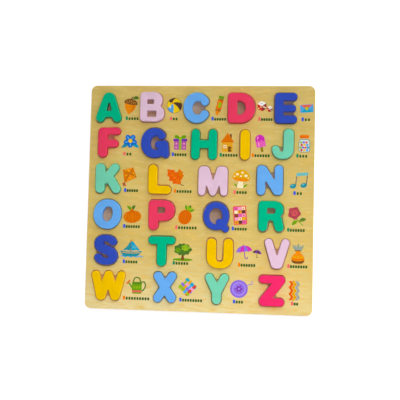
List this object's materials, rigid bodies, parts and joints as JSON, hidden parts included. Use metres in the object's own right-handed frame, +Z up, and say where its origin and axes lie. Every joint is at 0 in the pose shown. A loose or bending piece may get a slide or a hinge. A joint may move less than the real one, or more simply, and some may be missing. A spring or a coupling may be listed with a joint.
{
  "type": "alphabet inset board",
  "caption": "Square wooden board with letter shaped recesses, each holding a thick painted capital letter that lifts straight out, with small printed motifs between them.",
  "frame": {"origin": "centre of the underside of the base plate", "axes": "+Z up out of the lettered face, +X along the rows in reading direction, +Y towards the first row of letters"},
  "size_m": [0.3, 0.3, 0.011],
  "materials": {
    "base_ply": "bare sanded plywood",
    "board_face": "pale wood grain print under clear satin lacquer",
    "paint_green": "satin paint on wood",
    "paint_pink": "satin paint on wood",
    "paint_sky": "satin paint on wood",
    "paint_crimson": "satin paint on wood",
    "paint_royal": "satin paint on wood",
    "paint_yellow": "satin paint on wood",
    "paint_mint": "satin paint on wood"
  },
  "bodies": {
    "board": {"base_plate": "base_ply", "top_plate": "board_face"},
    "letter_a": {"letter_a": "paint_green"},
    "letter_b": {"letter_b": "paint_pink"},
    "letter_c": {"letter_c": "paint_sky"},
    "letter_d": {"letter_d": "paint_crimson"},
    "letter_e": {"letter_e": "paint_royal"},
    "letter_f": {"letter_f": "paint_crimson"},
    "letter_g": {"letter_g": "paint_royal"},
    "letter_h": {"letter_h": "paint_green"},
    "letter_i": {"letter_i": "paint_yellow"},
    "letter_j": {"letter_j": "paint_mint"},
    "letter_k": {"letter_k": "paint_mint"},
    "letter_l": {"letter_l": "paint_yellow"},
    "letter_m": {"letter_m": "paint_pink"},
    "letter_n": {"letter_n": "paint_sky"},
    "letter_o": {"letter_o": "paint_sky"},
    "letter_p": {"letter_p": "paint_crimson"},
    "letter_q": {"letter_q": "paint_royal"},
    "letter_r": {"letter_r": "paint_green"},
    "letter_s": {"letter_s": "paint_royal"},
    "letter_t": {"letter_t": "paint_green"},
    "letter_u": {"letter_u": "paint_yellow"},
    "letter_v": {"letter_v": "paint_pink"},
    "letter_w": {"letter_w": "paint_yellow"},
    "letter_x": {"letter_x": "paint_sky"},
    "letter_y": {"letter_y": "paint_mint"},
    "letter_z": {"letter_z": "paint_crimson"}
  },
  "joints": [
    {"name": "lift_a", "type": "slide", "parent": "board", "child": "letter_a", "axis": [0, 0, 1], "range_m": [0, 0.03]},
    {"name": "lift_b", "type": "slide", "parent": "board", "child": "letter_b", "axis": [0, 0, 1], "range_m": [0, 0.03]},
    {"name": "lift_c", "type": "slide", "parent": "board", "child": "letter_c", "axis": [0, 0, 1], "range_m": [0, 0.03]},
    {"name": "lift_d", "type": "slide", "parent": "board", "child": "letter_d", "axis": [0, 0, 1], "range_m": [0, 0.03]},
    {"name": "lift_e", "type": "slide", "parent": "board", "child": "letter_e", "axis": [0, 0, 1], "range_m": [0, 0.03]},
    {"name": "lift_f", "type": "slide", "parent": "board", "child": "letter_f", "axis": [0, 0, 1], "range_m": [0, 0.03]},
    {"name": "lift_g", "type": "slide", "parent": "board", "child": "letter_g", "axis": [0, 0, 1], "range_m": [0, 0.03]},
    {"name": "lift_h", "type": "slide", "parent": "board", "child": "letter_h", "axis": [0, 0, 1], "range_m": [0, 0.03]},
    {"name": "lift_i", "type": "slide", "parent": "board", "child": "letter_i", "axis": [0, 0, 1], "range_m": [0, 0.03]},
    {"name": "lift_j", "type": "slide", "parent": "board", "child": "letter_j", "axis": [0, 0, 1], "range_m": [0, 0.03]},
    {"name": "lift_k", "type": "slide", "parent": "board", "child": "letter_k", "axis": [0, 0, 1], "range_m": [0, 0.03]},
    {"name": "lift_l", "type": "slide", "parent": "board", "child": "letter_l", "axis": [0, 0, 1], "range_m": [0, 0.03]},
    {"name": "lift_m", "type": "slide", "parent": "board", "child": "letter_m", "axis": [0, 0, 1], "range_m": [0, 0.03]},
    {"name": "lift_n", "type": "slide", "parent": "board", "child": "letter_n", "axis": [0, 0, 1], "range_m": [0, 0.03]},
    {"name": "lift_o", "type": "slide", "parent": "board", "child": "letter_o", "axis": [0, 0, 1], "range_m": [0, 0.03]},
    {"name": "lift_p", "type": "slide", "parent": "board", "child": "letter_p", "axis": [0, 0, 1], "range_m": [0, 0.03]},
    {"name": "lift_q", "type": "slide", "parent": "board", "child": "letter_q", "axis": [0, 0, 1], "range_m": [0, 0.03]},
    {"name": "lift_r", "type": "slide", "parent": "board", "child": "letter_r", "axis": [0, 0, 1], "range_m": [0, 0.03]},
    {"name": "lift_s", "type": "slide", "parent": "board", "child": "letter_s", "axis": [0, 0, 1], "range_m": [0, 0.03]},
    {"name": "lift_t", "type": "slide", "parent": "board", "child": "letter_t", "axis": [0, 0, 1], "range_m": [0, 0.03]},
    {"name": "lift_u", "type": "slide", "parent": "board", "child": "letter_u", "axis": [0, 0, 1], "range_m": [0, 0.03]},
    {"name": "lift_v", "type": "slide", "parent": "board", "child": "letter_v", "axis": [0, 0, 1], "range_m": [0, 0.03]},
    {"name": "lift_w", "type": "slide", "parent": "board", "child": "letter_w", "axis": [0, 0, 1], "range_m": [0, 0.03]},
    {"name": "lift_x", "type": "slide", "parent": "board", "child": "letter_x", "axis": [0, 0, 1], "range_m": [0, 0.03]},
    {"name": "lift_y", "type": "slide", "parent": "board", "child": "letter_y", "axis": [0, 0, 1], "range_m": [0, 0.03]},
    {"name": "lift_z", "type": "slide", "parent": "board", "child": "letter_z", "axis": [0, 0, 1], "range_m": [0, 0.03]}
  ]
}
